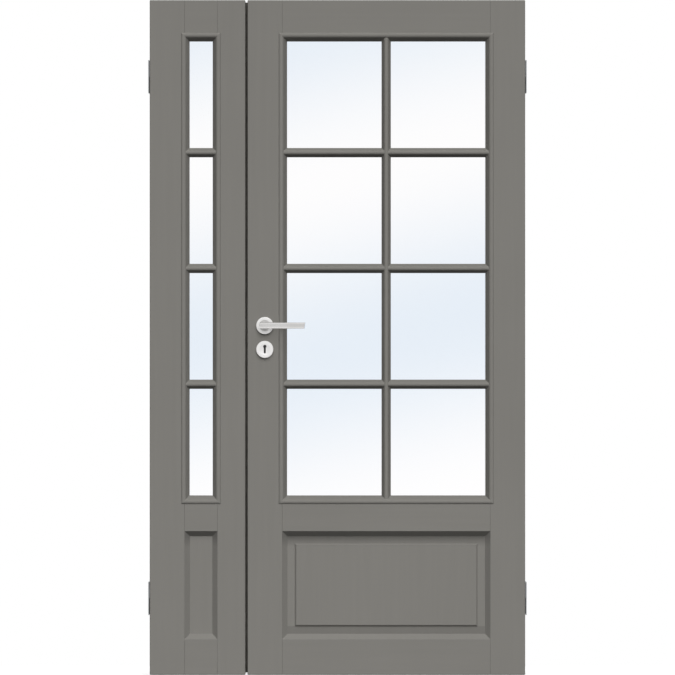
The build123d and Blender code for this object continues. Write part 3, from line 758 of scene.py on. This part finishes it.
black_pile, tree, shader = new_material("black_pile")
shader.inputs["Roughness"].default_value = PILE_ROUGHNESS
shader.inputs["Specular IOR Level"].default_value = PILE_SHINE
dust = map_range(tree, noise(tree, object_place(tree), DUST_SCALE), NOISE_SPREAD, (0.0, 1.0))
tree.links.new(shader.inputs["Base Color"], mix_colours(tree, dust, PILE_DARK, PILE_DUSTY))
dress("meeting_seal", black_pile)
print("material:", black_pile.name)

# %% [markdown]
# ## Geometry Nodes on points
# Tufts and screws are the same job: one small shape set on many points, each turned to the way its
# point faces. Python could place the copies one by one, but a tree keeps the sizes as named inputs.
# Both trees end in the same nodes, which also make the copies real mesh and give them a material.
# A tree runs once on a cloud of points, and only the plain mesh is kept.

# %% Helpers for Geometry Nodes
def geometry_tree(name, inputs):
    """A Geometry Nodes tree with named inputs after the geometry; gives the tree and its end nodes."""
    tree = bpy.data.node_groups.new(name, "GeometryNodeTree")
    tree.interface.new_socket("Geometry", in_out="INPUT", socket_type="NodeSocketGeometry")
    for socket_name, socket_type in inputs:
        tree.interface.new_socket(socket_name, in_out="INPUT", socket_type=socket_type)
    tree.interface.new_socket("Geometry", in_out="OUTPUT", socket_type="NodeSocketGeometry")
    return tree, tree.nodes.new("NodeGroupInput"), tree.nodes.new("NodeGroupOutput")


def plant_on_points(tree, tree_in, tree_out, shape):
    """Set a shape on every point, make it real mesh and give it the material; gives the planting node."""
    facing = add_node(tree, "GeometryNodeInputNamedAttribute", data_type="FLOAT_VECTOR")
    facing.inputs["Name"].default_value = "facing"
    turn = add_node(tree, "FunctionNodeAlignRotationToVector", axis="Z")
    plant = add_node(tree, "GeometryNodeInstanceOnPoints")
    realize = add_node(tree, "GeometryNodeRealizeInstances")
    finish = add_node(tree, "GeometryNodeSetMaterial")
    tree.links.new(turn.inputs["Vector"], facing.outputs["Attribute"])
    tree.links.new(plant.inputs["Points"], tree_in.outputs["Geometry"])
    tree.links.new(plant.inputs["Instance"], shape)
    tree.links.new(plant.inputs["Rotation"], turn.outputs["Rotation"])
    tree.links.new(realize.inputs["Geometry"], plant.outputs["Instances"])
    tree.links.new(finish.inputs["Geometry"], realize.outputs["Geometry"])
    tree.links.new(finish.inputs["Material"], tree_in.outputs["Material"])
    tree.links.new(tree_out.inputs["Geometry"], finish.outputs["Geometry"])
    return plant


def grow(name, points, tree, values):
    """Run a tree on a cloud of points and keep the result as a plain mesh at the origin."""
    cloud = bpy.data.meshes.new(name + "_points")
    cloud.from_pydata([place for place, facing in points], [], [])
    facing_attribute = cloud.attributes.new("facing", "FLOAT_VECTOR", "POINT")
    facing_attribute.data.foreach_set("vector", [value for place, facing in points for value in facing])
    seed_object = bpy.data.objects.new(name + "_points", cloud)
    bpy.context.scene.collection.objects.link(seed_object)
    modifier = seed_object.modifiers.new("grow", "NODES")
    modifier.node_group = tree
    sockets = {item.name: item.identifier for item in tree.interface.items_tree if item.in_out == "INPUT"}
    for socket_name, value in values.items():
        modifier[sockets[socket_name]] = value
    depsgraph = bpy.context.evaluated_depsgraph_get()
    mesh = bpy.data.meshes.new_from_object(seed_object.evaluated_get(depsgraph))
    mesh.name = name
    bpy.data.objects.remove(seed_object)
    bpy.data.meshes.remove(cloud)
    piece = bpy.data.objects.new(name, mesh)
    bpy.context.scene.collection.objects.link(piece)
    return piece


print("Geometry Nodes helpers ready")

# %% [markdown]
# ## Pile
# The pile is thousands of short tufts, far too many to place by hand. Hair could do it, but only mesh
# is exported as it looks here. So a tuft is a four-sided cone, set in two staggered rows along
# the strip, each a little longer or shorter than the next.

# %% Pile tree
TUFT_SIDES = 4
TUFT_TIP = 0.35                  # radius of the tip, in tuft widths
TUFT_FOOT = 0.7                  # radius of the foot, in tuft widths

pile_tree, pile_in, pile_out = geometry_tree(
    "brush_pile",
    [
        ("Width", "NodeSocketFloat"),
        ("Shortest", "NodeSocketFloat"),
        ("Longest", "NodeSocketFloat"),
        ("Seed", "NodeSocketInt"),
        ("Material", "NodeSocketMaterial"),
    ],
)
tuft = add_node(pile_tree, "GeometryNodeMeshCone")
tuft.inputs["Vertices"].default_value = TUFT_SIDES
tuft.inputs["Radius Top"].default_value = TUFT_TIP
tuft.inputs["Radius Bottom"].default_value = TUFT_FOOT
tuft.inputs["Depth"].default_value = 1.0
length = add_node(pile_tree, "FunctionNodeRandomValue", data_type="FLOAT")
size = add_node(pile_tree, "ShaderNodeCombineXYZ")
plant = plant_on_points(pile_tree, pile_in, pile_out, tuft.outputs["Mesh"])
links = pile_tree.links
links.new(length.inputs["Min"], pile_in.outputs["Shortest"])
links.new(length.inputs["Max"], pile_in.outputs["Longest"])
links.new(length.inputs["Seed"], pile_in.outputs["Seed"])
links.new(size.inputs["X"], pile_in.outputs["Width"])
links.new(size.inputs["Y"], pile_in.outputs["Width"])
links.new(size.inputs["Z"], length.outputs["Value"])
links.new(plant.inputs["Scale"], size.outputs["Vector"])
print("tree:", pile_tree.name)

# %% Pile tufts
TUFT_WIDTH = 0.0007
TUFT_SPACING = 0.0006
TUFT_ROOT = 0.0006               # part of a tuft inside the backing strip
TUFT_REACH = (0.92, 1.02)        # shortest and longest, in widths of the slit that is left
TUFT_SEED = 7

seal_low, seal_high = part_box("meeting_seal")
pile_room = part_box("active_lock_stile")[0].x - seal_high.x
seal_mid_y = (seal_low.y + seal_high.y) / 2
tuft_count = int((seal_high.z - seal_low.z) / TUFT_SPACING)
pile_points = []
for row in (-0.5, 0.5):
    for number in range(tuft_count):
        level = seal_low.z + (number + 0.5 + row / 2) * TUFT_SPACING
        place = (seal_high.x - TUFT_ROOT, seal_mid_y + row * TUFT_WIDTH, level)
        pile_points.append((place, (1, 0, 0)))
pile = grow(
    "meeting_seal_pile",
    pile_points,
    pile_tree,
    {
        "Width": TUFT_WIDTH,
        "Shortest": TUFT_ROOT + TUFT_REACH[0] * pile_room,
        "Longest": TUFT_ROOT + TUFT_REACH[1] * pile_room,
        "Seed": TUFT_SEED,
        "Material": black_pile,
    },
)
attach(pile, "passive_leaf")
print("tufts:", len(pile_points), "faces:", len(pile.data.polygons))

# %% [markdown]
# ## Screw head
# A countersunk head is a cone with its wide end up. The cross for the screwdriver could be painted on
# by the material, but a real recess also holds up close to. So two crossed blocks, half sunk into
# the cone, are cut away. The head is then lowered until its top lies at the origin,
# and a point near a plate's face is where the head's top comes.

# %% Screw head tree
SCREW_HEAD = 0.0038              # radius of the head's top
SCREW_NECK = 0.0021              # radius of its underside
SCREW_DEPTH = 0.0017
SCREW_SIDES = 24
RECESS_LENGTH = 0.0042
RECESS_WIDTH = 0.0009
RECESS_DEPTH = 0.0011

screw_tree, screw_in, screw_out = geometry_tree(
    "screw_heads",
    [
        ("Head", "NodeSocketFloat"),
        ("Neck", "NodeSocketFloat"),
        ("Depth", "NodeSocketFloat"),
        ("Recess", "NodeSocketVector"),
        ("Material", "NodeSocketMaterial"),
    ],
)
links = screw_tree.links
head = add_node(screw_tree, "GeometryNodeMeshCone")
head.inputs["Vertices"].default_value = SCREW_SIDES
links.new(head.inputs["Radius Top"], screw_in.outputs["Head"])
links.new(head.inputs["Radius Bottom"], screw_in.outputs["Neck"])
links.new(head.inputs["Depth"], screw_in.outputs["Depth"])
recess = add_node(screw_tree, "GeometryNodeMeshBoolean", operation="DIFFERENCE")
links.new(recess.inputs["Mesh 1"], head.outputs["Mesh"])
head_top = add_node(screw_tree, "ShaderNodeCombineXYZ")
links.new(head_top.inputs["Z"], screw_in.outputs["Depth"])
for turn in (0, math.pi / 2):
    block = add_node(screw_tree, "GeometryNodeMeshCube")
    links.new(block.inputs["Size"], screw_in.outputs["Recess"])
    lifted = add_node(screw_tree, "GeometryNodeTransform")
    lifted.inputs["Rotation"].default_value = (0, 0, turn)
    links.new(lifted.inputs["Geometry"], block.outputs["Mesh"])
    links.new(lifted.inputs["Translation"], head_top.outputs["Vector"])
    links.new(recess.inputs["Mesh 2"], lifted.outputs["Geometry"])
drop = add_node(screw_tree, "ShaderNodeCombineXYZ")
links.new(drop.inputs["Z"], combine(screw_tree, "MULTIPLY", screw_in.outputs["Depth"], -1.0))
sunk = add_node(screw_tree, "GeometryNodeTransform")
links.new(sunk.inputs["Geometry"], recess.outputs["Mesh"])
links.new(sunk.inputs["Translation"], drop.outputs["Vector"])
plant_on_points(screw_tree, screw_in, screw_out, sunk.outputs["Geometry"])
print("tree:", screw_tree.name)

# %% [markdown]
# ## Screws in their places
# Hinge plates are screwed on with four screws each, the lock plate, the strike and the flush bolts
# with one near each end. The hinges' pattern comes from the record, so heads sit in the real holes.

# %% Screw places
HINGE_PLATE = 0.0025
HEAD_BELOW = 0.00015             # head below the face of a hinge plate
HEAD_ABOVE = 0.0003              # head above the face of an edge plate
EDGE_SCREW_INSET = 0.010         # screw from the end of an edge plate
MM_PER_METRE = 1000              # the record gives spacings in millimetres

mounts = {mount["name"]: mount for mount in frame["record"]["mounts"]}
pattern = mounts["passive_lower_hinge_screws"]
across = pattern["dims"]["spacing_x_mm"] / MM_PER_METRE / 2
along = pattern["dims"]["spacing_y_mm"] / MM_PER_METRE / 2
hinge_screw_y = pattern["pos_m"][1]


def hinge_screws(node_name, face_x, facing_x):
    """Four screw places on a hinge plate."""
    low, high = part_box(node_name)
    plate_mid = (low.z + high.z) / 2
    head_x = face_x - facing_x * HEAD_BELOW
    return [
        ((head_x, hinge_screw_y + side * across, plate_mid + end * along), (facing_x, 0, 0))
        for side in (-1, 1)
        for end in (-1, 1)
    ]


def end_screws(node_name, facing_x):
    """Two screw places near the ends of an edge plate."""
    low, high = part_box(node_name)
    face_x = high.x if facing_x > 0 else low.x
    return [
        ((face_x + facing_x * HEAD_ABOVE, leaf_mid, level), (facing_x, 0, 0))
        for level in (low.z + EDGE_SCREW_INSET, high.z - EDGE_SCREW_INSET)
    ]


screw_places = {"frame_hinges": [], "passive_leaf": [], "active_leaf": []}
for level in ("lower", "upper"):
    left_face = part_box(f"passive_{level}_frame_hinge")[0].x + HINGE_PLATE
    right_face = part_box(f"active_{level}_frame_hinge")[1].x - HINGE_PLATE
    screw_places["frame_hinges"] += hinge_screws(f"passive_{level}_frame_hinge", left_face, 1)
    screw_places["frame_hinges"] += hinge_screws(f"active_{level}_frame_hinge", right_face, -1)
    screw_places["passive_leaf"] += hinge_screws(f"passive_{level}_leaf_hinge", passive_low.x, -1)
    screw_places["active_leaf"] += hinge_screws(f"active_{level}_leaf_hinge", active_high.x, 1)
screw_places["active_leaf"] += end_screws("mortise_lock", -1)
for plate in ("strike_plate", "top_flush_bolt", "bottom_flush_bolt"):
    screw_places["passive_leaf"] += end_screws(plate, 1)
print("screw places:", {body: len(places) for body, places in screw_places.items()})

# %% Screws on each body
for body, places in screw_places.items():
    screws = grow(
        f"{body}_screws",
        places,
        screw_tree,
        {
            "Head": SCREW_HEAD,
            "Neck": SCREW_NECK,
            "Depth": SCREW_DEPTH,
            "Recess": (RECESS_LENGTH, RECESS_WIDTH, 2 * RECESS_DEPTH),
            "Material": metals["hinge_metal"],
        },
    )
    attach(screws, body)
    print(screws.name, "faces:", len(screws.data.polygons))

# %% [markdown]
# ## Finish
# The view layer is brought up to date.

# %% Finish
bpy.context.view_layer.update()
